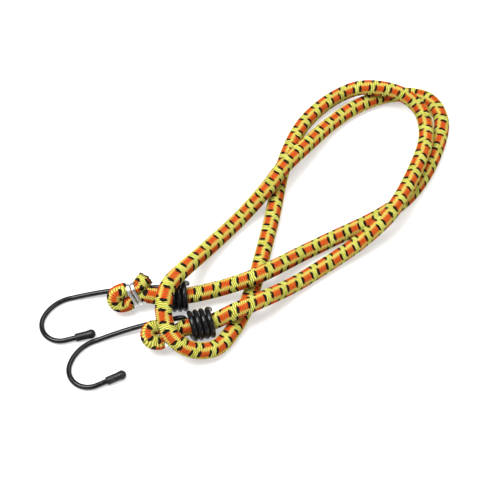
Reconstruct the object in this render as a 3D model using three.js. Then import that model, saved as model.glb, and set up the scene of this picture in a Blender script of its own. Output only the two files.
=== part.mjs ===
// Bungee cord: a braided elastic cord with a coated wire hook at each end, lying in loose loops.
// Millimetres, +Z up. The origin is under the middle of the whole, on the surface that it lies on.
import * as THREE from 'three';

// Cord
const cordDiameter = 8; // across the flats of its eight sides
const sheathWall = 0.9;
const strandPitch = 1.66; // between the middles of two rubber strands
const strandSide = 1.32; // square cut rubber thread
const strandRows = [2, 3, 2];
const sheathSides = 8;
const ringsPerPoint = 2; // rings of the sheath for each point of the route

// Stopper knot: the cord is folded back on itself and held by a clip of flattened wire
const foldSqueeze = 0.8; // share of its size that the cord keeps in the fold
const foldSpacing = 7; // between the middles of the two limbs
const foldRings = 7;
const clipSqueeze = 0.56;
const clipSpacing = 5;
const clipWidth = 1.75; // along the cord
const clipThickness = 1;
const clipTurnGap = 0.5;
const clipClearance = 0.3;
const clipTurns = 2;
const clipHalfTurnSteps = 8;
const clipReach = 6.2; // from the middle of the fold to the middle of the clip
const releaseLength = 2; // in which the cord swells back to its full size past the clip
const swellShare = 0.5; // of the tail's free length, where the tail has swollen
const swellSqueeze = 0.9;

// Hook: one coated wire, wound into a coil round the cord
const wireDiameter = 2.6;
const coilMeanRadius = 6.2;
const coilPitch = 2.79;
const coilTurns = 3.83;
const coilLean = 0.79; // how far the turns lean along the coil
const coilLeanTurn = 213; // degrees round the cord
const coilEndSplay = 1.2; // how far the cut end springs away from the turn beside it
const coilEndSplayTurns = 0.16;
const coilStepsPerTurn = 16;
const coilBendRadius = 3; // of the bend from the shank into the first turn
const coilBendSteps = 3;
const shankTurn = -10; // degrees round the cord from the level of its middle
const shankSideAngle = 7.9; // degrees away from the line of the coil
const shankLength = 40.5;
const shankBendAngle = 14.5;
const shankSteps = 5;
const wideBendRadius = 17.5;
const wideBendAngle = 55.7;
const wideBendSteps = 6;
const closeBendRadius = 9.65;
const closeBendAngle = 128.5;
const closeBendSteps = 10;
const tipLength = 12.2;
const wireSides = 6;

// Rubber cap pushed on the wire's tip
const capDiameter = 4.5;
const capMouthDiameter = 3.9;
const capLength = 9.8;
const capEndWall = 2;
const capClearance = 0.3;
const capSides = 12;
const capRoundSteps = 4;

const turn = 2 * Math.PI;
const radians = THREE.MathUtils.degToRad;
const vec = (x, y, z) => new THREE.Vector3(x, y, z);
const cordRadius = cordDiameter / 2;
const wireRadius = wireDiameter / 2;
const coilHeight = coilMeanRadius + wireRadius;
const coilLength = coilTurns * coilPitch;
const clipPitch = clipWidth + clipTurnGap;
const clipLength = clipTurns * clipPitch + clipWidth;

// How far the hook reaches to the side of its coil's line
const shankEndAngle = radians(shankBendAngle - shankSideAngle);
const closeBendStart = shankEndAngle + radians(wideBendAngle);
const closeBendEnd = closeBendStart + radians(closeBendAngle);
const wideBendDepth = wideBendRadius * (Math.cos(shankEndAngle) - Math.cos(closeBendStart));
const closeBendDepth = closeBendRadius * (Math.cos(closeBendStart) - Math.cos(closeBendEnd));
const hookDepth = wideBendDepth + closeBendDepth;

// The front coil lies beside the rear hook's bends, further to that side than the rear coil
const rearCoilX = -38.65;
const rearCoilY = -42.85;
const frontCoilX = -26.44;
const hooksOverlap = 8.01;
const frontCoilY = rearCoilY - (hookDepth - hooksOverlap);

// Each end: the middle of its coil and the heading of the coil's line in degrees. In the end's own frame,
// which starts in the coil's middle with X along the coil towards the loose cord, fold is the middle of the
// knot's fold and tailEnd the middle of the cord's cut end. The knot's line goes from the fold to the clip.
// tailTurn is where the tail lies round that line, in degrees from level.
const ends = [
  {
    name: 'rear', x: rearCoilX, y: rearCoilY, heading: 4.3, fold: [-25.3, 0.35, 1.1],
    knotHeading: 11, knotPitch: 9.7, tailTurn: 54, tailEnd: [-13.35, 8.1, 5.4],
  },
  {
    name: 'front', x: frontCoilX, y: frontCoilY, heading: 13.85, fold: [-21.47, -1.02, 1.2],
    knotHeading: -8.5, knotPitch: -7, tailTurn: 190, tailEnd: [-9.8, -7.4, -3.2],
  },
];

// Route of the cord's middle, from the rear coil to the front coil
const route = [
  [-19.2, -39, 7.6], [-0.6, -35, 12.8], [24.5, -15.8, 4.6], [62.6, 6, 4], [77.7, 18.2, 4],
  [92, 41.4, 4], [99.2, 67.6, 4], [93.2, 81.9, 4], [76.5, 85.2, 4], [58.9, 79.2, 4],
  [42.2, 66.6, 4], [26.5, 46.6, 9], [14.1, 29.6, 12.9], [6.1, 17.4, 12.4], [-7, 4.8, 5],
  [-25, -17.2, 7.5], [-34.9, -34.3, 17.4], [-41.1, -44.7, 20.9], [-42.9, -53.2, 21], [-42.6, -60.8, 18.5],
  [-39.4, -68.2, 15.6], [-31.7, -72.2, 10.3], [-19.6, -69.4, 4.9], [-11, -59.1, 4], [-3.6, -42.5, 4],
  [7.1, -0.8, 4], [16.2, 42.3, 4], [27.6, 67.1, 4], [43.9, 82.1, 5.6], [57.3, 83.3, 11.9],
  [76.1, 79, 13], [87.2, 71, 9.6], [89.3, 53.8, 9.7], [82.3, 30.9, 12.5], [66.4, 1.4, 12.9],
  [53, -10.4, 8], [36.3, -21.6, 4], [19.1, -34.1, 4.8], [-0.2, -48.9, 12.6], [-9.6, -53.6, 12.9],
];

const sheathFinish = { color: 0xd9b93a, roughness: 0.8, metalness: 0 };
const rubberFinish = { color: 0xcdbb95, roughness: 0.7, metalness: 0 };
const coatingFinish = { color: 0x17171a, roughness: 0.35, metalness: 0.1 };
const capFinish = { color: 0x1c1c1e, roughness: 0.55, metalness: 0 };
const clipFinish = { color: 0xb9bec4, roughness: 0.35, metalness: 0.9 };

// Solids swept through rings of points, each ring counterclockwise for someone whom the sweep comes towards
function addSkin(triangles, rings, count, first, inward) {
  for (let i = 0; i + 1 < rings; i += 1) {
    for (let j = 0; j < count; j += 1) {
      const a = first + i * count + j;
      const b = first + i * count + ((j + 1) % count);
      const quad = [a, b, a + count, b, b + count, a + count];
      triangles.push(...(inward ? quad.reverse() : quad));
    }
  }
}

function solid(points, triangles) {
  const geometry = new THREE.BufferGeometry();
  const positions = points.flatMap((point) => point.toArray());
  geometry.setAttribute('position', new THREE.Float32BufferAttribute(positions, 3));
  geometry.setIndex(triangles);
  return geometry;
}

function sweep(rings) {
  const count = rings[0].length;
  const last = (rings.length - 1) * count;
  const triangles = [];
  addSkin(triangles, rings.length, count, 0, false);
  for (let j = 1; j + 1 < count; j += 1) {
    triangles.push(0, j + 1, j);
    triangles.push(last, last + j, last + j + 1);
  }
  return solid(rings.flat(), triangles);
}

function sweepHollow(outerRings, innerRings) {
  const count = outerRings[0].length;
  const inner = outerRings.length * count;
  const last = inner - count;
  const triangles = [];
  addSkin(triangles, outerRings.length, count, 0, false);
  addSkin(triangles, innerRings.length, count, inner, true);
  for (let j = 0; j < count; j += 1) {
    const k = (j + 1) % count;
    triangles.push(j, inner + j, k, k, inner + j, inner + k);
    triangles.push(last + j, last + k, inner + last + j);
    triangles.push(last + k, inner + last + k, inner + last + j);
  }
  return solid([...outerRings, ...innerRings].flat(), triangles);
}

function polygon(sides, radius, startShare) {
  const outline = [];
  for (let j = 0; j < sides; j += 1) {
    const angle = ((j + startShare) / sides) * turn;
    outline.push([radius * Math.cos(angle), radius * Math.sin(angle)]);
  }
  return outline;
}

function placeOutline(outline, { at, side, above, scale = 1 }) {
  return outline.map(([a, b]) => {
    const point = at.clone().addScaledVector(side, a * scale);
    return point.addScaledVector(above, b * scale);
  });
}

// Frames along a wire: above is carried from point to point, or given for the points that have it
function wireFrames(stations) {
  let above = null;
  return stations.map((station, i) => {
    const before = stations[Math.max(i - 1, 0)].at;
    const after = stations[Math.min(i + 1, stations.length - 1)].at;
    const along = after.clone().sub(before).normalize();
    above = (station.above ?? above).clone();
    above.addScaledVector(along, -above.dot(along)).normalize();
    const side = above.clone().cross(along);
    return { at: station.at, side, above };
  });
}

// Least distance between points of rings that lie more than half a turn apart
function leastGap(rings, halfTurn) {
  let least = Infinity;
  for (let i = 0; i < rings.length; i += 1) {
    for (let j = i + halfTurn; j < rings.length; j += 1) {
      for (const point of rings[i]) {
        for (const other of rings[j]) {
          least = Math.min(least, point.distanceTo(other));
        }
      }
    }
  }
  return least;
}

// Direction from the line of the cord to the tail, in the end's own frame
function tailDirection(end) {
  return vec(0, Math.cos(radians(end.tailTurn)), Math.sin(radians(end.tailTurn)));
}

// The knot's own frame in the end's: it starts in the middle of the fold, with X along the knot to the clip
function knotPlace(end) {
  const turned = new THREE.Euler(0, -radians(end.knotPitch), radians(end.knotHeading), 'ZYX');
  return new THREE.Matrix4().makeRotationFromEuler(turned).setPosition(...end.fold);
}

// Middle line from the cut end of the tail, round the fold and through the coil
function knotLine(end) {
  const across = tailDirection(end);
  const knot = knotPlace(end);
  const onKnot = (x, offset) => vec(x, 0, 0).addScaledVector(across, offset).applyMatrix4(knot);
  const clipEnd = clipReach + clipLength / 2;
  const tailEnd = vec(...end.tailEnd);
  const tailStart = onKnot(clipEnd, clipSpacing / 2);
  const line = [{ at: tailEnd, scale: 1 }];
  line.push({ at: tailStart.clone().lerp(tailEnd, swellShare), scale: swellSqueeze });
  line.push({ at: tailStart, scale: clipSqueeze });
  line.push({ at: onKnot(clipEnd - clipLength, clipSpacing / 2), scale: clipSqueeze });
  for (let i = 0; i < foldRings; i += 1) {
    const angle = (i / (foldRings - 1)) * Math.PI;
    const at = onKnot((-foldSpacing / 2) * Math.sin(angle), (foldSpacing / 2) * Math.cos(angle));
    line.push({ at, scale: foldSqueeze });
  }
  line.push({ at: onKnot(clipEnd - clipLength, -clipSpacing / 2), scale: clipSqueeze });
  line.push({ at: onKnot(clipEnd, -clipSpacing / 2), scale: clipSqueeze });
  line.push({ at: onKnot(clipEnd + releaseLength, -clipSpacing / 2), scale: 1 });
  line.push({ at: vec(-coilLength / 2, 0, 0), scale: 1 });
  line.push({ at: vec(coilLength / 2, 0, 0), scale: 1 });
  const toWorld = new THREE.Matrix4().makeRotationZ(radians(end.heading));
  toWorld.setPosition(end.x, end.y, coilHeight);
  line.forEach((station) => station.at.applyMatrix4(toWorld));
  return line;
}

// Frames along the whole cord, from one cut end to the other. On the loose cord above stays upright, so that
// a flat of the section lies on the surface, and in each knot it is carried on from there without a twist.
function cordFrames() {
  const [rear, front] = ends.map(knotLine);
  const middle = route.map(([x, y, z]) => ({ at: vec(x, y, z), scale: 1 }));
  const stations = [...rear, ...middle, ...front.reverse()];
  const curve = new THREE.CatmullRomCurve3(stations.map((station) => station.at), false, 'centripetal');
  const spans = stations.length - 1;
  const frames = [];
  for (let i = 0; i <= spans; i += 1) {
    const loose = i >= rear.length - 1 && i < rear.length + middle.length;
    const rings = loose ? ringsPerPoint : 1;
    for (let j = 0; j < rings; j += 1) {
      const t = (i + j / rings) / spans;
      const at = curve.getPoint(t);
      if (loose) at.z = Math.max(at.z, cordRadius);
      frames.push({ at, along: curve.getTangent(t), scale: stations[i].scale, above: vec(0, 0, 1), loose });
    }
  }
  const carry = (frame, above) => {
    frame.above = above.clone().addScaledVector(frame.along, -above.dot(frame.along)).normalize();
    frame.side = frame.above.clone().cross(frame.along);
  };
  frames.forEach((frame, i) => carry(frame, frame.loose || i === 0 ? frame.above : frames[i - 1].above));
  for (let i = rear.length - 2; i >= 0; i -= 1) carry(frames[i], frames[i + 1].above);
  return frames;
}

function braidedSheath(frames) {
  const skins = [cordRadius, cordRadius - sheathWall].map((radius) => {
    const outline = polygon(sheathSides, radius / Math.cos(Math.PI / sheathSides), 0.5);
    return frames.map((frame) => placeOutline(outline, frame));
  });
  return sweepHollow(skins[0], skins[1]);
}

function rubberStrands(frames) {
  const strands = [];
  strandRows.forEach((inRow, row) => {
    for (let i = 0; i < inRow; i += 1) {
      const sideways = (i - (inRow - 1) / 2) * strandPitch;
      const upwards = (row - (strandRows.length - 1) / 2) * strandPitch;
      const square = polygon(4, strandSide / Math.SQRT2, 0.5);
      const outline = square.map(([a, b]) => [a + sideways, b + upwards]);
      strands.push(sweep(frames.map((frame) => placeOutline(outline, frame))));
    }
  });
  return strands;
}

// Clip of flattened wire: it starts behind the tail and goes round both limbs, half a turn round each
function knotClip(end) {
  const across = tailDirection(end);
  const level = across.clone().cross(vec(1, 0, 0));
  const limbReach = (cordRadius / Math.cos(Math.PI / sheathSides)) * clipSqueeze;
  const radius = limbReach + clipClearance + clipThickness / 2;
  const halves = clipTurns * 2;
  const knot = knotPlace(end);
  const stations = [];
  for (let half = 0; half < halves; half += 1) {
    const onTail = half % 2 === 0;
    for (let i = 0; i <= clipHalfTurnSteps; i += 1) {
      const angle = (0.5 - half - i / clipHalfTurnSteps) * Math.PI;
      const share = (half + i / (clipHalfTurnSteps + 1)) / halves - 0.5;
      const above = across.clone().multiplyScalar(Math.cos(angle)).addScaledVector(level, Math.sin(angle));
      const limb = onTail ? clipSpacing / 2 : -clipSpacing / 2;
      const at = across.clone().multiplyScalar(limb).addScaledVector(above, radius);
      at.x += clipReach + share * clipTurns * clipPitch;
      stations.push({ at: at.applyMatrix4(knot), above: above.transformDirection(knot) });
    }
  }
  const flattened = polygon(wireSides, 1, 0).map(([a, b]) => [(a * clipWidth) / 2, (b * clipThickness) / 2]);
  const rings = wireFrames(stations).map((frame) => placeOutline(flattened, frame));
  console.log(`${end.name} clip: least gap ${leastGap(rings, clipHalfTurnSteps + 2).toFixed(2)} mm`);
  return sweep(rings);
}

// Hook: from the cut end of the coil, back along the coil, over the bend into the shank and round to the tip
function hookStations() {
  const stations = [];
  const bendTurn = coilBendRadius / coilMeanRadius;
  const bendStart = radians(shankTurn) - bendTurn;
  const onCoil = (x, angle) => {
    const above = vec(0, Math.cos(angle), Math.sin(angle));
    const lean = coilLean * Math.cos(angle - radians(coilLeanTurn));
    stations.push({ at: vec(x + lean, 0, 0).addScaledVector(above, coilMeanRadius), above });
  };
  const steps = Math.round(coilTurns * coilStepsPerTurn);
  for (let i = steps; i >= 0; i -= 1) {
    const turns = (i / steps) * coilTurns;
    const splay = Math.max(0, 1 - (coilTurns - turns) / coilEndSplayTurns);
    onCoil(turns * coilPitch - coilLength / 2 + coilEndSplay * splay, bendStart - turns * turn);
  }
  for (let i = 1; i <= coilBendSteps; i += 1) {
    const angle = ((i / coilBendSteps) * Math.PI) / 2;
    const x = -coilLength / 2 - coilBendRadius * (1 - Math.cos(angle));
    onCoil(x, bendStart + bendTurn * Math.sin(angle));
  }
  return stations;
}

function hookWire(end) {
  const stations = hookStations();
  const coilRings = stations.length - coilBendSteps;
  const at = stations[stations.length - 1].at.clone();
  let heading = Math.PI - radians(shankSideAngle);
  const forward = () => vec(Math.cos(heading), Math.sin(heading), 0);
  const bend = (radius, angle, steps, rise) => {
    for (let i = 0; i < steps; i += 1) {
      const step = radians(angle) / steps;
      heading += step / 2;
      at.addScaledVector(forward(), 2 * radius * Math.sin(step / 2));
      heading += step / 2;
      at.z += rise / steps;
      stations.push({ at: at.clone() });
    }
  };
  bend(shankLength / radians(shankBendAngle), shankBendAngle, shankSteps, -coilMeanRadius - at.z);
  bend(wideBendRadius, wideBendAngle, wideBendSteps, 0);
  bend(closeBendRadius, closeBendAngle, closeBendSteps, capDiameter / 2 - wireRadius);
  at.addScaledVector(forward(), tipLength);
  stations.push({ at: at.clone() });
  const outline = polygon(wireSides, wireRadius, 0.5);
  const rings = wireFrames(stations).map((frame) => placeOutline(outline, frame));
  const gap = leastGap(rings.slice(0, coilRings), coilStepsPerTurn / 2);
  console.log(`${end.name} hook: least gap of its coil ${gap.toFixed(2)} mm`);
  return { geometry: sweep(rings), tip: at, direction: forward() };
}

function tipCap() {
  const radius = capDiameter / 2;
  const bore = wireRadius + capClearance;
  const profile = [];
  for (let i = 0; i <= capRoundSteps; i += 1) {
    const angle = ((i / capRoundSteps) * Math.PI) / 2;
    profile.push(new THREE.Vector2(radius * Math.sin(angle), radius * (1 - Math.cos(angle))));
  }
  profile.push(new THREE.Vector2(capMouthDiameter / 2, capLength));
  profile.push(new THREE.Vector2(bore, capLength));
  profile.push(new THREE.Vector2(bore, capEndWall));
  profile.push(new THREE.Vector2(0, capEndWall));
  return new THREE.LatheGeometry(profile, capSides);
}

function named(name, geometry, finish) {
  const mesh = new THREE.Mesh(geometry, new THREE.MeshStandardMaterial(finish));
  mesh.name = name;
  return mesh;
}

const bungee = new THREE.Group();
const frames = cordFrames();
bungee.add(named('braided_sheath', braidedSheath(frames), sheathFinish));
rubberStrands(frames).forEach((strand, i) => {
  bungee.add(named(`rubber_strand_${i + 1}`, strand, rubberFinish));
});

for (const end of ends) {
  const place = new THREE.Group();
  place.position.set(end.x, end.y, coilHeight);
  place.rotation.z = radians(end.heading);
  const wire = hookWire(end);
  place.add(named(`${end.name}_hook_wire`, wire.geometry, coatingFinish));
  const cap = named(`${end.name}_tip_cap`, tipCap(), capFinish);
  cap.position.copy(wire.tip).addScaledVector(wire.direction, capEndWall + capClearance);
  cap.quaternion.setFromUnitVectors(vec(0, 1, 0), wire.direction.clone().negate());
  place.add(cap);
  place.add(named(`${end.name}_crimp_clip`, knotClip(end), clipFinish));
  bungee.add(place);
}

export default bungee;
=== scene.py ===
import math

import bpy
import numpy as np
from mathutils import Euler, Matrix, Vector


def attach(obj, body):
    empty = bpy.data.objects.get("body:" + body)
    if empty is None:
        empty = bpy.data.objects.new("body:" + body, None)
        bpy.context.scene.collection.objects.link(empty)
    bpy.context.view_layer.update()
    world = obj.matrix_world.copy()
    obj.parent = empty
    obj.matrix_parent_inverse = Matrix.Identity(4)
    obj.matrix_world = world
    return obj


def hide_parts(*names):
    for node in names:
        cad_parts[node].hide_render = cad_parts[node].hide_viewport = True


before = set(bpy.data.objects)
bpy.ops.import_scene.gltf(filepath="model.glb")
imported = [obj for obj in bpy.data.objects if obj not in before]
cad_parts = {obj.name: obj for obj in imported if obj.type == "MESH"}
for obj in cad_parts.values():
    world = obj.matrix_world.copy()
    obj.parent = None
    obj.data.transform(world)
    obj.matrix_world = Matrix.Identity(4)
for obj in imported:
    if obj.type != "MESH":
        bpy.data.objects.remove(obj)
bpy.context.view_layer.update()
print("frame loaded:", len(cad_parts), "nodes")

# Lengths are in metres and angles in degrees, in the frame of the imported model, where nothing else is said

cord = {
    "diameter": 0.008,
    "ringStep": 0.00044,  # half a rib of the braid
    "pointsRound": 32,
    "pointsPerSpan": 24,  # between two points of the route
    "softenings": 6,  # rounds that take the small corners out of the line before its direction is read
    "crownHeight": 0.00012,  # how far the braid's ribs stand above and below its mean surface
    "sunkenShare": 0.7,  # of that height on every second point round the cord
    "slant": 0.00016,  # the yarns cross in a herringbone, so a rib rises and falls by this along the cord
    "pointsPerSlant": 4,
    "wall": 0.0009,
    "repeat": 0.00895,  # length of one repeat of the colours
    "columns": 5,
    "looseMark": 57.4,  # where the loose cord starts in the marks below, in mm
    "frayLength": 0.00045,  # how unevenly the cut ends' threads stand out
    "frayRings": 3,
    "frayWaves": (7, 11, 16),  # waves round the cord that make the fray uneven
    "frayShift": 2,  # of the second wave against the first, in radians
    "frayFineShare": 0.5,
    "singedLength": 0.0019,
}

# Where the photograph shows the orange blocks of one column: mm along the cord, number of the block, and
# degrees round the cord
blockMarks = [
    (7.75, -5, 130), (17.5, -4, 160), (29.5, -3, 80), (41.5, -2, 105), (58.5, 0, 94), (68, 1, 97),
    (78, 2, 99), (86.5, 3, 102), (94, 4, 102), (103.5, 5, 102), (114, 6, 106), (125, 7, 110),
    (134.5, 8, 112), (152, 10, 114), (160.5, 11, 117), (207, 16, 78), (227, 18, 84), (236.5, 19, 97),
    (246, 20, 108), (254.5, 21, 102), (263, 22, 85), (298, 26, 108), (306.5, 27, 99), (315.5, 28, 93),
    (335.5, 30, 87), (355, 32, 82), (364.5, 33, 82), (372.5, 34, 87), (379.5, 35, 90), (386, 36, 91),
    (394, 37, 94), (411, 39, 90), (420.5, 40, 90), (432.5, 41, 93), (445.5, 42, 92), (457, 43, 82),
    (467.5, 44, 80), (477.5, 45, 108), (487, 46, 125), (495, 47, 147), (504, 48, 150), (512.5, 49, 137),
    (529, 51, 138), (567, 55, 131), (576.5, 56, 135), (594, 58, 141), (603.5, 59, 138), (640, 63, 121),
    (649, 64, 131), (659, 65, 134), (678.5, 67, 134), (688.5, 68, 143), (696.5, 69, 139), (712.5, 71, 132),
    (719.5, 72, 137), (728.5, 73, 142), (748.5, 75, 141), (759, 76, 133), (770, 77, 128), (789, 79, 130),
    (806, 81, 138), (822.5, 83, 128), (838, 85, 124), (847.5, 86, 123), (856.5, 87, 129), (877.5, 89, 131),
    (887.5, 90, 137), (895.5, 91, 136), (903.5, 92, 135), (923.5, 94, 107), (945, 96, 160),
]

knot = {
    "foldSpacing": 0.007,  # between the middles of the two limbs
    "foldSqueeze": 0.95,  # share of the cord's size
    "clipSpacing": 0.005,
    "clipSqueeze": 0.63,
    "foldPoints": 7,
    "clipReach": 0.0062,  # from the middle of the fold to the middle of the clip
    "releaseLength": 0.002,
    "swellShare": 0.2,  # of the tail's free length, where the tail has swollen
    "swellSqueeze": 0.97,
    "tailBow": -0.0002,
    "shoulderReach": 0.0022,  # the fold stays thick as far as this towards the clip
    "shoulderSqueeze": 0.94,
}

clip = {
    "width": 0.00175,
    "thickness": 0.001,
    "turnGap": 0.0005,
    "clearance": 0.00018,
    "turns": 2,
    "stepsPerHalf": 20,
    "edgeRound": 0.00038,
    "edgeSteps": 5,
    "smoothAngle": 45,
}

hook = {
    "wireDiameter": 0.0026,
    "coating": 0.00035,
    "coilWireDiameter": 0.00272,  # the coating spreads where it is wound tight
    "coilMeanRadius": 0.0062,
    "coilPitch": 0.00279,
    "coilTurns": 3.876,
    "cutEndTurn": 14,  # where the cut end lies round the cord, in degrees from level
    "cutEndSplay": 0.0012,  # how far the cut end springs away from the turn beside it
    "cutEndSplayTurns": 0.1,
    "cutEndSplayPower": 1.5,
    "coilLean": 0.00079,
    "coilLeanTurn": 213,
    "stepsPerTurn": 56,
    "bendRadius": 0.0024,
    "bendSteps": 10,
    "shankSideAngle": 7.28,
    "shankFall": 6.36,
    "shankLength": 0.04114,
    "shankBendAngle": 14.5,
    "shankSteps": 24,
    "levelRadius": 0.008,
    "levelSteps": 4,
    "wideBendRadius": 0.0175,
    "wideBendAngle": 55.1,
    "wideBendSteps": 26,
    "closeBendRadius": 0.00965,
    "closeBendAngle": 128.5,
    "closeBendSteps": 36,
    "tipTilt": 2.16,  # lifts the tip so that its cap clears the surface
    "tipLength": 0.0122,
    "wirePoints": 20,
    "smoothAngle": 40,
}

cap = {
    "diameter": 0.0045,
    "bodyDiameter": 0.004,
    "mouthDiameter": 0.0037,
    "mouthLength": 0.0003,
    "edgeRound": 0.00012,
    "length": 0.0098,
    "swellStart": 0.0056,  # from the mouth
    "endWall": 0.002,
    "clearance": 0.0003,
    "points": 36,
    "roundSteps": 8,
    "smoothAngle": 35,
}

strand = {
    "side": 0.00132,
    "corner": 0.0003,
    "pitch": 0.00166,
    "rows": (2, 3, 2),
    "every": 5,  # rings of the sheath for each ring of a strand
}

# In each end's own frame fold is the middle of its knot's fold and tailEnd the middle of the cut end
ends = [
    {
        "name": "rear", "x": -0.03865, "y": -0.04285, "heading": 4.3,
        "fold": (-0.0253, 0.00035, 0.0011), "knotHeading": 11, "knotPitch": 9.7, "tailTurn": 54,
        "tailEnd": (-0.01335, 0.0081, 0.0054),
    },
    {
        "name": "front", "x": -0.02644, "y": -0.058054, "heading": 13.85,
        "fold": (-0.02147, -0.00102, 0.0012), "knotHeading": -8.5, "knotPitch": -7, "tailTurn": 190,
        "tailEnd": (-0.0098, -0.0074, -0.0032),
    },
]

# Route of the cord's middle, from the rear coil to the front coil
route = [
    (-0.0192, -0.039, 0.0076), (-0.0006, -0.035, 0.0128), (0.0245, -0.0158, 0.0046),
    (0.0626, 0.006, 0.004), (0.0777, 0.0182, 0.004), (0.092, 0.0414, 0.004),
    (0.0992, 0.0676, 0.004), (0.0932, 0.0819, 0.004), (0.0765, 0.0852, 0.004),
    (0.0589, 0.0792, 0.004), (0.0422, 0.0666, 0.004), (0.0265, 0.0466, 0.009),
    (0.0141, 0.0296, 0.0129), (0.0061, 0.0174, 0.0124), (-0.007, 0.0048, 0.005),
    (-0.025, -0.0172, 0.0075), (-0.0349, -0.0343, 0.0174), (-0.0411, -0.0447, 0.0209),
    (-0.0429, -0.0532, 0.021), (-0.0426, -0.0608, 0.0185), (-0.0394, -0.0682, 0.0156),
    (-0.0317, -0.0722, 0.0103), (-0.0196, -0.0694, 0.0049), (-0.011, -0.0591, 0.004),
    (-0.0036, -0.0425, 0.004), (0.0071, -0.0008, 0.004), (0.0162, 0.0423, 0.004),
    (0.0276, 0.0671, 0.004), (0.0439, 0.0821, 0.0056), (0.0573, 0.0833, 0.0119),
    (0.0761, 0.079, 0.013), (0.0872, 0.071, 0.0096), (0.0893, 0.0538, 0.0097),
    (0.0823, 0.0309, 0.0125), (0.0664, 0.0014, 0.0129), (0.053, -0.0104, 0.008),
    (0.0363, -0.0216, 0.004), (0.0191, -0.0341, 0.0048), (-0.0002, -0.0489, 0.0126),
    (-0.0096, -0.0536, 0.0129),
]

# The lens and the sensor's width are in mm
view = {
    "target": (-0.00775, -0.00585, 0),
    "elevation": 57,
    "distance": 0.575,
    "lens": 86.25,
    "sensorWidth": 36,
}

studio = {
    "floorSize": 20,
    "floorColour": (0.55, 0.55, 0.55),
    "floorRoughness": 0.9,
    "floorGlow": 0.48,  # a light table, so that shadows stay faint
    "world": 0.28,
    "lights": (  # name, place, size and power in watts
        ("keyLight", (-0.4, -0.05, 1.0), 0.55, 16),
        ("topLight", (0.25, 0.35, 1.1), 0.8, 8.4),
        ("fillLight", (0.8, -0.4, 0.8), 0.5, 2),
    ),
}

weldReach = 0.000001  # points closer than this are joined

cordRadius = cord["diameter"] / 2
wireRadius = hook["wireDiameter"] / 2
coilHeight = hook["coilMeanRadius"] + wireRadius
coilLength = hook["coilTurns"] * hook["coilPitch"]
clipPitch = clip["width"] + clip["turnGap"]
clipLength = clip["turns"] * clipPitch + clip["width"]


def placeOf(end):  # the end's own frame: X along its coil towards the loose cord, from the coil's middle
    turned = Matrix.Rotation(math.radians(end["heading"]), 4, "Z")
    return Matrix.Translation((end["x"], end["y"], coilHeight)) @ turned


def tailDirection(end):
    turn = math.radians(end["tailTurn"])
    return Vector((0, math.cos(turn), math.sin(turn)))


def knotPlace(end):  # X along the knot from the middle of the fold to the clip
    turned = Euler((0, -math.radians(end["knotPitch"]), math.radians(end["knotHeading"])), "XYZ")
    return placeOf(end) @ Matrix.Translation(end["fold"]) @ turned.to_matrix().to_4x4()


def addCamera():
    elevation = math.radians(view["elevation"])
    target = Vector(view["target"])
    away = Vector((0, -math.cos(elevation), math.sin(elevation)))
    bpy.ops.object.camera_add(location=target + away * view["distance"])
    camera = bpy.context.object
    camera.data.sensor_width = view["sensorWidth"]
    camera.data.lens = view["lens"]
    camera.rotation_euler = away.to_track_quat("Z", "Y").to_euler()
    bpy.context.scene.camera = camera


# Cord: the knots' middle lines and the route are joined into one smooth line

def knotLine(end):
    across = tailDirection(end)
    place = knotPlace(end)
    clipEnd = knot["clipReach"] + clipLength / 2
    foldRadius = knot["foldSpacing"] / 2
    limb = knot["clipSpacing"] / 2
    squeeze = knot["clipSqueeze"]

    def onKnot(x, offset):
        return place @ (Vector((x, 0, 0)) + across * offset)

    tailEnd = placeOf(end) @ Vector(end["tailEnd"])
    tailStart = onKnot(clipEnd, limb)
    swollen = tailStart.lerp(tailEnd, knot["swellShare"]) + placeOf(end).col[0].xyz * knot["tailBow"]
    line = [(tailEnd, 1), (swollen, knot["swellSqueeze"])]
    line += [(tailStart, squeeze), (onKnot(clipEnd - clipLength, limb), squeeze)]
    line.append((onKnot(knot["shoulderReach"], foldRadius), knot["shoulderSqueeze"]))
    for i in range(knot["foldPoints"]):
        angle = math.pi * i / (knot["foldPoints"] - 1)
        at = onKnot(-foldRadius * math.sin(angle), foldRadius * math.cos(angle))
        line.append((at, knot["foldSqueeze"]))
    line.append((onKnot(knot["shoulderReach"], -foldRadius), knot["shoulderSqueeze"]))
    line += [(onKnot(clipEnd - clipLength, -limb), squeeze), (onKnot(clipEnd, -limb), squeeze)]
    line.append((onKnot(clipEnd + knot["releaseLength"], -limb), 1))
    line += [(placeOf(end) @ Vector((x, 0, 0)), 1) for x in (-coilLength / 2, coilLength / 2)]
    return line


def smoothLine(points, perSpan):  # centripetal Catmull-Rom through the points
    padded = np.vstack([2 * points[0] - points[1], points, 2 * points[-1] - points[-2]])
    line = []
    for i in range(len(points) - 1):
        p0, p1, p2, p3 = padded[i:i + 4]
        t1 = np.linalg.norm(p1 - p0) ** 0.5
        t2 = t1 + np.linalg.norm(p2 - p1) ** 0.5
        t3 = t2 + np.linalg.norm(p3 - p2) ** 0.5
        for t in np.linspace(t1, t2, perSpan, endpoint=False):
            a1 = p0 + (p1 - p0) * t / t1
            a2 = p1 + (p2 - p1) * (t - t1) / (t2 - t1)
            a3 = p2 + (p3 - p2) * (t - t2) / (t3 - t2)
            b1 = a1 + (a2 - a1) * t / t2
            b2 = a2 + (a3 - a2) * (t - t1) / (t3 - t1)
            line.append(b1 + (b2 - b1) * (t - t1) / (t2 - t1))
    line.append(points[-1])
    return np.array(line)


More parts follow.
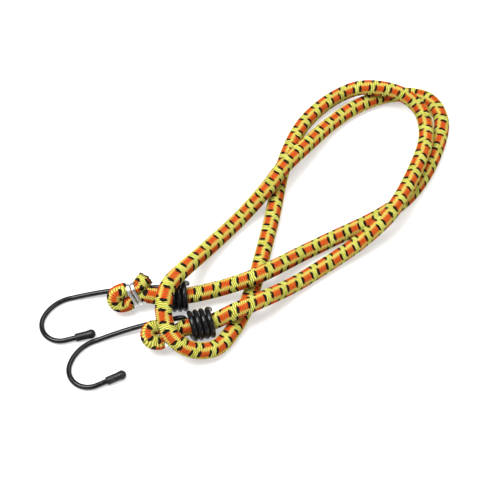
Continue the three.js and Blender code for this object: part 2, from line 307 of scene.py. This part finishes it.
def cordCourse():  # evenly spaced rings along the whole cord, with their size and their frame
    rear, front = [knotLine(end) for end in ends]
    stations = rear + [(Vector(point), 1) for point in route] + front[::-1]
    perSpan = cord["pointsPerSpan"]
    places, sizes = zip(*stations)
    line = smoothLine(np.array(places), perSpan)
    scales = np.interp(np.arange(len(line)) / perSpan, np.arange(len(stations)), sizes)
    firstLoose = (len(rear) - 1) * perSpan
    lastLoose = (len(stations) - len(front)) * perSpan
    loose = line[firstLoose:lastLoose]
    loose[:, 2] = np.maximum(loose[:, 2], cordRadius)
    along = np.concatenate([[0], np.cumsum(np.linalg.norm(np.diff(line, axis=0), axis=1))])
    steps = round(along[-1] / cord["ringStep"])
    distance = np.linspace(0, along[-1], steps + 1)
    at = np.stack([np.interp(distance, along, line[:, k]) for k in range(3)], axis=1)
    soft = at.copy()
    for _ in range(cord["softenings"]):
        soft[1:-1] = (soft[:-2] + soft[1:-1] * 2 + soft[2:]) / 4
    forward = np.gradient(soft, axis=0)
    forward /= np.linalg.norm(forward, axis=1)[:, None]
    first, last = np.searchsorted(distance, [along[firstLoose], along[lastLoose]])
    above = np.tile([0.0, 0.0, 1.0], (len(at), 1))

    def square(i):
        above[i] -= forward[i] * above[i].dot(forward[i])
        above[i] /= np.linalg.norm(above[i])

    for i in range(first, last + 1):
        square(i)
    for i in range(last + 1, len(at)):  # carried on through the front knot without a twist
        above[i] = above[i - 1]
        square(i)
    for i in range(first - 1, -1, -1):
        above[i] = above[i + 1]
        square(i)
    blocks, turned = followMarks(distance, along[firstLoose])
    return {
        "at": at, "above": above, "side": np.cross(above, forward), "forward": forward,
        "scale": np.interp(distance, along, scales), "distance": distance, "first": first, "last": last,
        "blocks": blocks, "turned": turned,
    }


def followMarks(distance, looseStart):  # number of the block and turns of its column at each ring
    at, number, turn = np.array(blockMarks).T
    at = looseStart + (at - cord["looseMark"]) / 1000
    before = number[0] - at[0] / cord["repeat"]
    after = number[-1] + (distance[-1] - at[-1]) / cord["repeat"]
    at = np.concatenate([[0], at, [distance[-1]]])
    blocks = np.interp(distance, at, np.concatenate([[before], number, [after]]))
    turned = np.interp(distance, at, np.concatenate([turn[:1], turn, turn[-1:]])) / 360
    reach = round(cord["repeat"] / cord["ringStep"] / 2)
    kernel = np.hanning(2 * reach + 3)[1:-1]
    soft = np.convolve(np.pad(turned, reach, mode="edge"), kernel / kernel.sum(), mode="valid")
    return blocks, soft


def tubeRings(course, start, stop, radius, crown):  # one ring in two is a rib's crown, the other its foot
    points = np.arange(cord["pointsRound"])
    turn = points * 2 * math.pi / cord["pointsRound"]
    herringbone = cord["slant"] * np.cos(turn * cord["pointsRound"] / cord["pointsPerSlant"])
    yarns = np.where(points % 2, cord["sunkenShare"], 1)
    frayRings = cord["frayRings"]
    waves = cord["frayWaves"]
    rings = []
    for i in range(start, stop + 1):
        up = crown * (1 - 2 * (i % 2)) * yarns
        reach = radius * course["scale"][i] + up
        ring = (
            course["at"][i]
            + np.outer(reach * np.cos(turn), course["side"][i])
            + np.outer(reach * np.sin(turn), course["above"][i])
            + np.outer(herringbone * course["scale"][i], course["forward"][i])
        )
        fromEnd = min(i, len(course["at"]) - 1 - i)
        if fromEnd < frayRings:  # the cut threads stand out unevenly
            fray = np.sin(turn * waves[0] + fromEnd) * np.sin(turn * waves[1] + cord["frayShift"])
            fray = fray + cord["frayFineShare"] * np.sin(turn * waves[2])
            outwards = 1 if i > fromEnd else -1
            standOut = fray * cord["frayLength"] * (frayRings - fromEnd) / frayRings * outwards
            ring += np.outer(standOut, course["forward"][i])
        ring[:, 2] = np.maximum(ring[:, 2], 0)  # pressed flat where it lies on the surface
        rings.append(ring)
    return rings


def skinFaces(rings, count, first, inward):
    faces = []
    for i in range(rings - 1):
        for j in range(count):
            a = first + i * count + j
            b = first + i * count + (j + 1) % count
            quad = (a, b, b + count, a + count)
            faces.append(quad[::-1] if inward else quad)
    return faces


def buildTube(name, course, start, stop, hollow):
    count = cord["pointsRound"]
    rings = tubeRings(course, start, stop, cordRadius - cord["crownHeight"], cord["crownHeight"])
    faces = skinFaces(len(rings), count, 0, False)
    points = np.concatenate(rings)
    inner = len(points)
    if hollow:
        innerRings = tubeRings(course, start, stop, cordRadius - cord["wall"], 0)
        points = np.concatenate([points] + innerRings)
        faces += skinFaces(len(rings), count, inner, True)
        for j in range(count):
            k = (j + 1) % count
            faces.append((j, inner + j, inner + k, k))
            far = inner - count
            faces.append((far + k, inner + far + k, inner + far + j, far + j))
    else:
        faces.append(tuple(range(count))[::-1])
        faces.append(tuple(range(inner - count, inner)))
    mesh = bpy.data.meshes.new(name)
    mesh.from_pydata(points.tolist(), [], faces)
    paintPattern(mesh, course, start, count, inner)
    tube = bpy.data.objects.new(name, mesh)
    bpy.context.scene.collection.objects.link(tube)
    mesh.shade_smooth()
    return tube


def paintPattern(mesh, course, start, count, inner):  # UV: share of the way round, repeats along
    corners = np.zeros(len(mesh.loops), np.int64)
    mesh.loops.foreach_get("vertex_index", corners)
    lapped = corners % inner
    ring = start + lapped // count
    place = lapped % count
    faceOf = np.zeros(len(mesh.loops), np.int64)
    for polygon in mesh.polygons:
        faceOf[polygon.loop_start:polygon.loop_start + polygon.loop_total] = polygon.index
    wraps = np.zeros(len(mesh.polygons), bool)
    np.logical_or.at(wraps, faceOf, place == count - 1)
    place = place + np.where(wraps[faceOf] & (place == 0), count, 0)
    firstColumn = 0.5 / cord["columns"]
    around = place / count + firstColumn - course["turned"][ring]
    values = np.stack([around, course["blocks"][ring] + 0.5], axis=1)
    layer = mesh.uv_layers.new(name="braid")
    layer.data.foreach_set("uv", values.astype(np.float32).ravel())
    weave = mesh.uv_layers.new(name="weave")  # yarns round the cord, ribs along it
    values = np.stack([place / 2, ring / 2], axis=1)
    weave.data.foreach_set("uv", values.astype(np.float32).ravel())
    rings = start + (np.arange(len(mesh.vertices)) % inner) // count
    fromEnd = np.minimum(course["distance"][rings], course["distance"][-1] - course["distance"][rings])
    singed = mesh.attributes.new("singed", "FLOAT", "POINT")
    singed.data.foreach_set("value", np.clip(1 - fromEnd / cord["singedLength"], 0, 1).astype(np.float32))


# Wires are bent as they are by hand: a ring of points is spun from bend to bend. Each bend gives the place
# and the direction that the wire has after it.

def selectRing(piece, first, count):
    bpy.ops.object.mode_set(mode="EDIT")
    bpy.ops.mesh.select_all(action="DESELECT")
    bpy.ops.object.mode_set(mode="OBJECT")
    for vertex in piece.data.vertices[first:first + count]:
        vertex.select = True
    bpy.ops.object.mode_set(mode="EDIT")


def bendWire(at, along, towards, radius, turn, steps):
    along = along.normalized()
    axis = along.cross(towards).normalized()
    centre = at + axis.cross(along) * radius
    bpy.ops.mesh.spin(steps=steps, angle=-turn, center=centre, axis=axis)
    turned = Matrix.Rotation(turn, 3, axis)
    return centre + turned @ (at - centre), turned @ along


def pushWire(at, step):
    bpy.ops.mesh.extrude_region_move(TRANSFORM_OT_translate={"value": step})
    return at + step


def finishPiece(piece, name, place, smoothAngle):
    bpy.ops.mesh.select_all(action="SELECT")
    bpy.ops.mesh.remove_doubles(threshold=weldReach)
    bpy.ops.mesh.normals_make_consistent(inside=False)
    bpy.ops.object.mode_set(mode="OBJECT")
    piece.data.transform(place)
    bpy.ops.object.shade_smooth_by_angle(angle=math.radians(smoothAngle))
    piece.name = name
    return piece


def addHook(end):
    across = hook["coilMeanRadius"]
    turned = hook["coilTurns"] * 2 * math.pi
    cutTurn = math.radians(hook["cutEndTurn"])
    ring = hook["wirePoints"]
    bpy.ops.mesh.primitive_circle_add(
        vertices=ring, radius=hook["coilWireDiameter"] / 2, rotation=(cutTurn, 0, 0),
        location=(coilLength / 2, across * math.cos(cutTurn), across * math.sin(cutTurn)),
    )
    bpy.ops.object.transform_apply()
    wire = bpy.context.object
    coil = wire.modifiers.new("coil", "SCREW")
    coil.axis = "X"
    coil.angle = turned
    coil.screw_offset = -coilLength
    coil.steps = round(hook["coilTurns"] * hook["stepsPerTurn"])
    coil.render_steps = coil.steps
    bpy.ops.object.modifier_apply(modifier="coil")
    lean = Matrix.Identity(4)
    lean[0][1] = hook["coilLean"] / across * math.cos(math.radians(hook["coilLeanTurn"]))
    lean[0][2] = hook["coilLean"] / across * math.sin(math.radians(hook["coilLeanTurn"]))
    wire.data.transform(lean)

    splayed = round(hook["cutEndSplayTurns"] * hook["stepsPerTurn"])
    for i, vertex in enumerate(wire.data.vertices[:splayed * ring]):
        vertex.co.x += hook["cutEndSplay"] * (1 - i // ring / splayed) ** hook["cutEndSplayPower"]

    lastTurn = cutTurn + turned
    at = lean @ Vector((-coilLength / 2, across * math.cos(lastTurn), across * math.sin(lastTurn)))
    rise = hook["coilPitch"] / (2 * math.pi)
    along = lean @ Vector((-rise, -across * math.sin(lastTurn), across * math.cos(lastTurn)))
    heading = math.pi - math.radians(hook["shankSideAngle"])
    level = Vector((math.cos(heading), math.sin(heading), 0))
    shank = level - Vector((0, 0, math.tan(math.radians(hook["shankFall"]))))

    def leftOf(along, tilt=0):
        return Vector((-along.y, along.x, math.tan(math.radians(tilt))))

    selectRing(wire, len(wire.data.vertices) - ring, ring)
    slimmer = hook["wireDiameter"] / hook["coilWireDiameter"]
    bpy.ops.transform.resize(value=(slimmer, slimmer, slimmer), center_override=at)
    at, along = bendWire(at, along, shank, hook["bendRadius"], along.angle(shank), hook["bendSteps"])
    shankTurn = math.radians(hook["shankBendAngle"])
    shankRadius = hook["shankLength"] / shankTurn
    at, along = bendWire(at, along, leftOf(along), shankRadius, shankTurn, hook["shankSteps"])
    level = Vector((along.x, along.y, 0))
    at, along = bendWire(at, along, level, hook["levelRadius"], along.angle(level), hook["levelSteps"])
    settle = Vector((0, 0, -across - at.z))
    bpy.ops.transform.translate(value=settle)
    at += settle
    for radius, turn, steps, tilt in (
        (hook["wideBendRadius"], hook["wideBendAngle"], hook["wideBendSteps"], 0),
        (hook["closeBendRadius"], hook["closeBendAngle"], hook["closeBendSteps"], hook["tipTilt"]),
    ):
        at, along = bendWire(at, along, leftOf(along, tilt), radius, math.radians(turn), steps)
    tip = pushWire(at, along * hook["tipLength"])
    bpy.ops.mesh.edge_face_add()
    selectRing(wire, 0, ring)
    bpy.ops.mesh.edge_face_add()
    bpy.ops.mesh.inset(thickness=hook["coating"])
    return finishPiece(wire, end["name"] + "HookWire", placeOf(end), hook["smoothAngle"]), tip, along


def addCap(end, tip, along):
    bulb = cap["diameter"] / 2
    bore = wireRadius + cap["clearance"]
    mouth = cap["mouthDiameter"] / 2
    body = cap["bodyDiameter"] / 2
    bulbMiddle = cap["length"] - bulb
    stations = [
        (bore, 0), (mouth - cap["edgeRound"], 0), (mouth, cap["edgeRound"]), (mouth, cap["mouthLength"]),
        (body, cap["mouthLength"] + cap["edgeRound"]), (body, cap["swellStart"]),
        ((body + bulb) / 2, (cap["swellStart"] + bulbMiddle) / 2), (bulb, bulbMiddle),
    ]
    for i in range(1, cap["roundSteps"]):
        angle = math.pi / 2 * i / cap["roundSteps"]
        stations.append((bulb * math.cos(angle), bulbMiddle + bulb * math.sin(angle)))
    boreEnd = cap["length"] - cap["endWall"]
    bpy.ops.mesh.primitive_circle_add(vertices=cap["points"], radius=bore, location=(0, 0, boreEnd))
    bpy.ops.object.transform_apply()
    piece = bpy.context.object
    selectRing(piece, 0, cap["points"])
    wasRadius, was = bore, boreEnd
    for radius, at in stations:
        bpy.ops.mesh.extrude_region_move(TRANSFORM_OT_translate={"value": (0, 0, at - was)})
        share = radius / wasRadius
        bpy.ops.transform.resize(value=(share, share, 1), center_override=(0, 0, at))
        wasRadius, was = radius, at
    bpy.ops.mesh.edge_face_add()
    bpy.ops.mesh.poke()
    selectRing(piece, 0, cap["points"])
    bpy.ops.mesh.edge_face_add()
    turned = along.to_track_quat("Z", "Y").to_matrix().to_4x4()
    mouthAt = tip - along.normalized() * (boreEnd - cap["clearance"])
    place = placeOf(end) @ Matrix.Translation(mouthAt) @ turned
    return finishPiece(piece, end["name"] + "TipCap", place, cap["smoothAngle"])


def addClip(end):  # of flattened wire, it starts behind the tail and goes round both limbs of the knot
    reach = cordRadius * knot["clipSqueeze"] + clip["clearance"] + clip["thickness"] / 2
    limb = knot["clipSpacing"] / 2
    advance = clipPitch / 2
    halves = clip["turns"] * 2
    start = Vector((knot["clipReach"] - advance * (halves - 1) / 2, limb, -reach))
    bpy.ops.mesh.primitive_plane_add(size=1, location=start, rotation=(math.pi / 2, 0, 0))
    piece = bpy.context.object
    piece.scale = (clip["width"], clip["thickness"], 1)
    bpy.ops.object.transform_apply()
    bpy.ops.object.mode_set(mode="EDIT")
    bpy.ops.mesh.select_all(action="SELECT")
    bpy.ops.mesh.bevel(offset=clip["edgeRound"], segments=clip["edgeSteps"], affect="VERTICES")
    bpy.ops.mesh.delete(type="ONLY_FACE")
    bpy.ops.mesh.select_all(action="SELECT")
    bpy.ops.object.mode_set(mode="OBJECT")
    ring = len(piece.data.vertices)
    bpy.ops.object.mode_set(mode="EDIT")
    at, along = start, Vector((0, 1, 0))
    for half in range(halves):
        if half:
            at = pushWire(at, Vector((advance, along.y * 2 * limb, 0)))
        at, along = bendWire(at, along, Vector((0, 0, -at.z)), reach, math.pi, clip["stepsPerHalf"])
    bpy.ops.mesh.edge_face_add()
    selectRing(piece, 0, ring)
    bpy.ops.mesh.edge_face_add()
    tail = tailDirection(end)
    knotLevel = Matrix((Vector((1, 0, 0)), tail, Vector((1, 0, 0)).cross(tail))).transposed().to_4x4()
    return finishPiece(piece, end["name"] + "CrimpClip", knotPlace(end) @ knotLevel, clip["smoothAngle"])


def buildStrands(course):
    picks = list(range(0, len(course["at"]), strand["every"]))
    picks.append(len(course["at"]) - 1)
    flat = strand["side"] / 2
    corner = flat - strand["corner"]
    square = [(flat, -corner), (flat, corner), (corner, flat), (-corner, flat)]
    square += [(-a, -b) for a, b in square]
    strands = []
    for row, inRow in enumerate(strand["rows"]):
        for place in range(inRow):
            sideways = (place - (inRow - 1) / 2) * strand["pitch"]
            upwards = (row - (len(strand["rows"]) - 1) / 2) * strand["pitch"]
            outline = np.array(square) + (sideways, upwards)
            rings = [
                course["at"][i] + course["scale"][i] * (
                    np.outer(outline[:, 0], course["side"][i]) + np.outer(outline[:, 1], course["above"][i])
                )
                for i in picks
            ]
            count = len(square)
            last = count * (len(rings) - 1)
            faces = skinFaces(len(rings), count, 0, False)
            faces += [tuple(range(count))[::-1], tuple(range(last, last + count))]
            mesh = bpy.data.meshes.new("rubberStrand")
            mesh.from_pydata(np.concatenate(rings).tolist(), [], faces)
            piece = bpy.data.objects.new(f"rubberStrand{len(strands) + 1}", mesh)
            bpy.context.scene.collection.objects.link(piece)
            strands.append(piece)
    return strands


# Materials

def newMaterial(name):
    material = bpy.data.materials.new(name)
    material.use_nodes = True
    tree = material.node_tree
    return material, tree, tree.nodes["Principled BSDF"]


def maths(tree, operation, *values):
    node = tree.nodes.new("ShaderNodeMath")
    node.operation = operation
    for socket, value in zip(node.inputs, values):
        if isinstance(value, (int, float)):
            socket.default_value = value
        else:
            tree.links.new(value, socket)
    return node.outputs[0]


def mixColour(tree, share, first, second):
    node = tree.nodes.new("ShaderNodeMix")
    node.data_type = "RGBA"
    for socket, value in zip((node.inputs[0], node.inputs[6], node.inputs[7]), (share, first, second)):
        if isinstance(value, bpy.types.NodeSocket):
            tree.links.new(value, socket)
        else:
            socket.default_value = (*value, 1)
    return node.outputs[2]


def ramp(tree, value, low, high):  # 0 below low, 1 above high, smooth between
    node = tree.nodes.new("ShaderNodeMapRange")
    node.interpolation_type = "SMOOTHSTEP"
    tree.links.new(value, node.inputs["Value"])
    node.inputs["From Min"].default_value = low
    node.inputs["From Max"].default_value = high
    return node.outputs[0]


# What every smooth surface here shares, each from a noise: its detail, and between which of its values the
# effect sets in
handling = {
    "Grain": (2, 0.3, 0.7),
    "Smudge": (3, 0.35, 0.68),
    "Rub": (4, 0.56, 0.7),
}

# Scales, roughening and relief are of the grain, the smudges and the rubbed spots, in that order
finishes = {
    "blackCoating": {
        "scales": (900, 70, 300),
        "colour": (0.0035, 0.0035, 0.0045), "smudged": (0.008, 0.008, 0.010), "smudgeShare": 0.6,
        "rubbed": (0.05, 0.05, 0.052), "rubShare": 0.18,
        "roughness": 0.14, "roughening": (0, 0.1, 0.12), "relief": (0.25, 1, 0), "depth": 0.00003,
        "constants": {"Specular IOR Level": 0.3},
    },
    "bareSteel": {
        "scales": (2600, 500, 900),
        "colour": (0.62, 0.61, 0.59), "smudged": (0.36, 0.34, 0.32), "smudgeShare": 0.7,
        "rubbed": (0.22, 0.16, 0.11), "rubShare": 0.5,
        "roughness": 0.3, "roughening": (0.2, 0, 0), "relief": (1, 0, 0), "depth": 0.00004,
        "constants": {"Metallic": 1},
    },
    "capRubber": {
        "scales": (2400, 160, 520),
        "colour": (0.0055, 0.0055, 0.0065), "smudged": (0.012, 0.012, 0.013), "smudgeShare": 1,
        "rubbed": (0.045, 0.045, 0.045), "rubShare": 0.25,
        "roughness": 0.27, "roughening": (0, 0.14, 0), "relief": (1, 0, 0), "depth": 0.00003,
        "constants": {"Specular IOR Level": 0.26},
    },
    "brightZinc": {
        "scales": (1800, 260, 600),
        "colour": (0.86, 0.87, 0.88), "smudged": (0.66, 0.68, 0.71), "smudgeShare": 1,
        "rubbed": (0.42, 0.43, 0.45), "rubShare": 0.5,
        "roughness": 0.2, "roughening": (0, 0.16, 0), "relief": (1, 0, 1), "depth": 0.00004,
        "constants": {"Metallic": 1},
    },
    "latex": {
        "scales": (2000, 300, 800),
        "colour": (0.74, 0.63, 0.42), "smudged": (0.55, 0.42, 0.24), "smudgeShare": 1,
        "rubbed": (0.86, 0.82, 0.72), "rubShare": 0.5,
        "roughness": 0.45, "roughening": (0.25, 0, 0), "relief": (1, 0, 0), "depth": 0.00006,
        "constants": {},
    },
}


def handledGroup():
    group = bpy.data.node_groups.new("handledSurface", "ShaderNodeTree")
    for name in handling:
        group.interface.new_socket(name + " Scale", in_out="INPUT", socket_type="NodeSocketFloat")
        group.interface.new_socket(name, in_out="OUTPUT", socket_type="NodeSocketFloat")
    given = group.nodes.new("NodeGroupInput")
    put = group.nodes.new("NodeGroupOutput")
    place = group.nodes.new("ShaderNodeTexCoord").outputs["Object"]
    for name, (detail, low, high) in handling.items():
        noise = group.nodes.new("ShaderNodeTexNoise")
        noise.inputs["Detail"].default_value = detail
        group.links.new(place, noise.inputs["Vector"])
        group.links.new(given.outputs[name + " Scale"], noise.inputs["Scale"])
        group.links.new(ramp(group, noise.outputs[0], low, high), put.inputs[name])
    return group


def handled(tree, group, scales):
    node = tree.nodes.new("ShaderNodeGroup")
    node.node_tree = group
    for name, scale in zip(handling, scales):
        node.inputs[name + " Scale"].default_value = scale
    return [node.outputs[name] for name in handling]


def weighed(tree, start, effects, weights):
    total = start
    for effect, weight in zip(effects, weights):
        if weight:
            total = maths(tree, "ADD", total, maths(tree, "MULTIPLY", effect, weight))
    return total


def addBump(tree, shader, height, depth):
    bump = tree.nodes.new("ShaderNodeBump")
    bump.inputs["Strength"].default_value = 1
    bump.inputs["Distance"].default_value = depth
    tree.links.new(height, bump.inputs["Height"])
    tree.links.new(bump.outputs[0], shader.inputs["Normal"])


braid = {
    "orange": (0.64, 0.023, 0.0005),
    "lightOrange": (0.74, 0.115, 0.006),
    "amber": (0.76, 0.36, 0.04),
    "yellow": (0.79, 0.72, 0.145),
    "lime": (0.66, 0.82, 0.165),
    "greenLime": (0.44, 0.56, 0.06),
    "black": (0.010, 0.008, 0.006),
    "singed": (0.05, 0.022, 0.010),
    "paintedRibShade": (0.10, 0.035, 0.003),  # painted shade in the grooves where the threads go down between two ribs
    "pale": (0.85, 0.62, 0.2),
    "paintedRibShadeShare": 0.86,
    "paleShare": 0.2,
    # in shares of a repeat from the middle of a block
    "tickMiddle": 0.295,
    "tickHalf": 0.077,
    "tickSoft": 0.006,
    "blockSoft": 0.01,
    "limeStart": -0.03,  # from the tick's middle
    "limeEnd": 0.05,
    "wander": 0.07,
    "lean": 0.05,  # the threads cross the cord at a slight angle
    # in shares of a column's width
    "tickReach": 0.42,
    "columnHalf": 0.255,
    "columnSoft": 0.03,
    "toothReach": 0.2,
    "amberReach": 0.26,  # how far the block's colour shows between the yellow threads beside it
    "amberTooth": 0.12,
    # noise: its scale round the cord and along it, and its detail
    "threadNoise": (0.9, 2.8, 2),
    "patchNoise": (0.25, 0.2, 2),
    "filamentNoise": (2.5, 9, 1),
    # where an effect starts and where it is full
    "greenLimits": (0.42, 0.62),
    "yellowLimits": (0.3, 0.7),
    "lightLimits": (0.40, 0.72),
    "paintedRibShadeLimits": (0.22, 0.88),
    "paleLimits": (0.45, 0.75),
    "singedLimits": (0.25, 0.75),
    "roughness": 0.6,
    "roughening": 0.3,
    "specular": 0.05,
    "threads": 5,  # filaments in each rib
    "threadShare": 0.5,  # of the filaments' relief that is even
    "ribDepth": 0.00022,
    "filamentDepth": 0.00005,
}


def sheathMaterial():
    material, tree, shader = newMaterial("braidedSheath")
    uv = tree.nodes.new("ShaderNodeUVMap")
    uv.uv_map = "braid"
    parts = tree.nodes.new("ShaderNodeSeparateXYZ")
    tree.links.new(uv.outputs[0], parts.inputs[0])
    aroundCord, alongCord = parts.outputs[0], parts.outputs[1]

    weave = tree.nodes.new("ShaderNodeUVMap")
    weave.uv_map = "weave"
    weaveParts = tree.nodes.new("ShaderNodeSeparateXYZ")
    tree.links.new(weave.outputs[0], weaveParts.inputs[0])
    ribs = weaveParts.outputs[1]

    def stretched(aroundScale, alongScale, detail):  # noise drawn out along the threads
        mapping = tree.nodes.new("ShaderNodeMapping")
        mapping.inputs["Scale"].default_value = (aroundScale, alongScale, 1)
        tree.links.new(weave.outputs[0], mapping.inputs["Vector"])
        noise = tree.nodes.new("ShaderNodeTexNoise")
        noise.noise_dimensions = "2D"
        noise.inputs["Scale"].default_value = 1
        noise.inputs["Detail"].default_value = detail
        tree.links.new(mapping.outputs[0], noise.inputs["Vector"])
        return noise.outputs[0]

    threadNoise = stretched(*braid["threadNoise"])
    patchNoise = stretched(*braid["patchNoise"])
    filamentNoise = stretched(*braid["filamentNoise"])

    column = maths(tree, "MULTIPLY", aroundCord, cord["columns"])
    across = maths(tree, "SUBTRACT", maths(tree, "FRACT", column), 0.5)
    width = maths(tree, "ABSOLUTE", across)
    shift = maths(tree, "DIVIDE", maths(tree, "FLOOR", column), cord["columns"])
    wander = maths(tree, "MULTIPLY", maths(tree, "SUBTRACT", threadNoise, 0.5), braid["wander"])
    lean = maths(tree, "MULTIPLY", across, braid["lean"])
    phase = maths(tree, "FRACT", maths(tree, "ADD", maths(tree, "ADD", alongCord, shift), lean))
    length = maths(tree, "ABSOLUTE", maths(tree, "SUBTRACT", phase, 0.5))
    ragged = maths(tree, "ADD", length, wander)

    rib = maths(tree, "FRACT", maths(tree, "ADD", ribs, 0.5))  # 0.5 on a rib's crown
    tooth = maths(tree, "MULTIPLY", maths(tree, "ABSOLUTE", maths(tree, "SUBTRACT", rib, 0.5)), 2)
    toothed = maths(tree, "ADD", width, maths(tree, "MULTIPLY", tooth, braid["toothReach"]))
    toothed = maths(tree, "ADD", toothed, wander)
    columnEdge = braid["columnHalf"] + braid["toothReach"] / 2
    offColumn = ramp(tree, toothed, columnEdge - braid["columnSoft"], columnEdge + braid["columnSoft"])
    amberEdge = columnEdge + braid["amberReach"]
    amberTooth = maths(tree, "MULTIPLY", tooth, braid["amberTooth"])
    offAmber = ramp(tree, maths(tree, "ADD", toothed, amberTooth), columnEdge, amberEdge)
    tickMiddle = braid["tickMiddle"]
    offBlock = ramp(tree, ragged, tickMiddle - braid["blockSoft"], tickMiddle + braid["blockSoft"])

    greenShare = ramp(tree, patchNoise, *braid["greenLimits"])
    yellowShare = ramp(tree, threadNoise, *braid["yellowLimits"])
    limeShare = ramp(tree, ragged, tickMiddle + braid["limeStart"], tickMiddle + braid["limeEnd"])
    lightShare = ramp(tree, threadNoise, *braid["lightLimits"])
    lime = mixColour(tree, greenShare, braid["lime"], braid["greenLime"])
    lime = mixColour(tree, yellowShare, lime, braid["yellow"])
    beside = mixColour(tree, offAmber, braid["amber"], braid["yellow"])
    strip = mixColour(tree, limeShare, beside, lime)
    orange = mixColour(tree, lightShare, braid["orange"], braid["lightOrange"])
    block = mixColour(tree, offColumn, orange, strip)
    ground = mixColour(tree, offBlock, block, strip)

    # painted shade: the colour darkens towards the foot of each rib, standing in for the shade that falls in
    # the grooves between ribs
    paintedRibShade = maths(tree, "MULTIPLY", ramp(tree, tooth, *braid["paintedRibShadeLimits"]), braid["paintedRibShadeShare"])
    colour = mixColour(tree, paintedRibShade, ground, braid["paintedRibShade"])
    pale = maths(tree, "MULTIPLY", ramp(tree, filamentNoise, *braid["paleLimits"]), braid["paleShare"])
    colour = mixColour(tree, pale, colour, braid["pale"])

    # each tick is a lens, widest in the middle of its column
    share = maths(tree, "DIVIDE", width, braid["tickReach"])
    lens = maths(tree, "SUBTRACT", 1, maths(tree, "POWER", share, 2))
    lens = maths(tree, "SQRT", maths(tree, "MAXIMUM", lens, 0))
    offTick = maths(tree, "ABSOLUTE", maths(tree, "SUBTRACT", ragged, tickMiddle))
    tickEdge = maths(tree, "MULTIPLY", lens, braid["tickHalf"])
    insideBy = maths(tree, "SUBTRACT", tickEdge, offTick)
    inTick = ramp(tree, insideBy, -braid["tickSoft"], braid["tickSoft"])
    colour = mixColour(tree, inTick, colour, braid["black"])

    burnt = tree.nodes.new("ShaderNodeAttribute")
    burnt.attribute_name = "singed"
    burntShare = ramp(tree, maths(tree, "ADD", burnt.outputs["Fac"], wander), *braid["singedLimits"])
    colour = mixColour(tree, burntShare, colour, braid["singed"])
    tree.links.new(colour, shader.inputs["Base Color"])
    roughness = weighed(tree, braid["roughness"], [filamentNoise], [braid["roughening"]])
    tree.links.new(roughness, shader.inputs["Roughness"])
    shader.inputs["Specular IOR Level"].default_value = braid["specular"]

    ribHeight = maths(tree, "SUBTRACT", 1, maths(tree, "MULTIPLY", tooth, tooth))
    filament = maths(tree, "SINE", maths(tree, "MULTIPLY", rib, 2 * math.pi * braid["threads"]))
    fine = maths(tree, "ADD", maths(tree, "MULTIPLY", filament, braid["threadShare"]), filamentNoise)
    height = maths(tree, "MULTIPLY", ribHeight, braid["ribDepth"])
    height = maths(tree, "ADD", height, maths(tree, "MULTIPLY", fine, braid["filamentDepth"]))
    addBump(tree, shader, height, 1)  # the height is in metres already
    return material


def smoothMaterial(name, group):
    finish = finishes[name]
    material, tree, shader = newMaterial(name)
    effects = handled(tree, group, finish["scales"])
    _, smudge, rub = effects
    smudged = maths(tree, "MULTIPLY", smudge, finish["smudgeShare"])
    colour = mixColour(tree, smudged, finish["colour"], finish["smudged"])
    rubbed = maths(tree, "MULTIPLY", rub, finish["rubShare"])
    tree.links.new(mixColour(tree, rubbed, colour, finish["rubbed"]), shader.inputs["Base Color"])
    roughness = weighed(tree, finish["roughness"], effects, finish["roughening"])
    tree.links.new(roughness, shader.inputs["Roughness"])
    for key, value in finish["constants"].items():
        shader.inputs[key].default_value = value
    addBump(tree, shader, weighed(tree, 0, effects, finish["relief"]), finish["depth"])
    return material


def addFloorAndLights():
    bpy.ops.mesh.primitive_plane_add(size=studio["floorSize"], location=(0, 0, 0))
    floor = bpy.context.object
    floor.name = "paleFloor"
    material, _, shader = newMaterial("paleFloor")
    shader.inputs["Base Color"].default_value = (*studio["floorColour"], 1)
    shader.inputs["Roughness"].default_value = studio["floorRoughness"]
    shader.inputs["Emission Color"].default_value = (1, 1, 1, 1)
    shader.inputs["Emission Strength"].default_value = studio["floorGlow"]
    floor.data.materials.append(material)
    world = bpy.data.worlds.new("studio")
    world.use_nodes = True
    background = world.node_tree.nodes["Background"]
    background.inputs["Color"].default_value = (1, 1, 1, 1)
    background.inputs["Strength"].default_value = studio["world"]
    bpy.context.scene.world = world
    for name, location, size, power in studio["lights"]:
        bpy.ops.object.light_add(type="AREA", location=location)
        light = bpy.context.object
        light.name = name
        light.data.size = size
        light.data.energy = power
        light.rotation_euler = Vector(location).to_track_quat("Z", "Y").to_euler()
    bpy.context.scene.view_settings.view_transform = "Standard"


def dress(piece, materials, body, node):
    for material in materials:
        piece.data.materials.append(material)
    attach(piece, body)
    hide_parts(node)


addCamera()
addFloorAndLights()
bpy.ops.object.select_all(action="DESELECT")
course = cordCourse()
looseCord = buildTube("looseCord", course, course["first"], course["last"], False)
rearCord = buildTube("rearKnotCord", course, 0, course["first"], True)
frontCord = buildTube("frontKnotCord", course, course["last"], len(course["at"]) - 1, True)
sheath = sheathMaterial()
for piece in (looseCord, rearCord, frontCord):
    dress(piece, [sheath], "cord", "braided_sheath")

handledSurface = handledGroup()
latex = smoothMaterial("latex", handledSurface)
for i, piece in enumerate(buildStrands(course)):
    dress(piece, [latex], "cord", f"rubber_strand_{i + 1}")

coating = smoothMaterial("blackCoating", handledSurface)
steel = smoothMaterial("bareSteel", handledSurface)
capRubber = smoothMaterial("capRubber", handledSurface)
zinc = smoothMaterial("brightZinc", handledSurface)
for end in ends:
    name = end["name"]
    wire, tip, along = addHook(end)
    dress(wire, [coating, steel], name + "_hook", name + "_hook_wire")
    flatEnds = [face for face in wire.data.polygons if len(face.vertices) == hook["wirePoints"]]
    cutEnd = max(flatEnds, key=lambda face: (face.center - placeOf(end) @ tip).length)
    cutEnd.material_index = 1
    dress(addCap(end, tip, along), [capRubber], name + "_hook", name + "_tip_cap")
    dress(addClip(end), [zinc], "cord", name + "_crimp_clip")
    print(name, "end modelled")
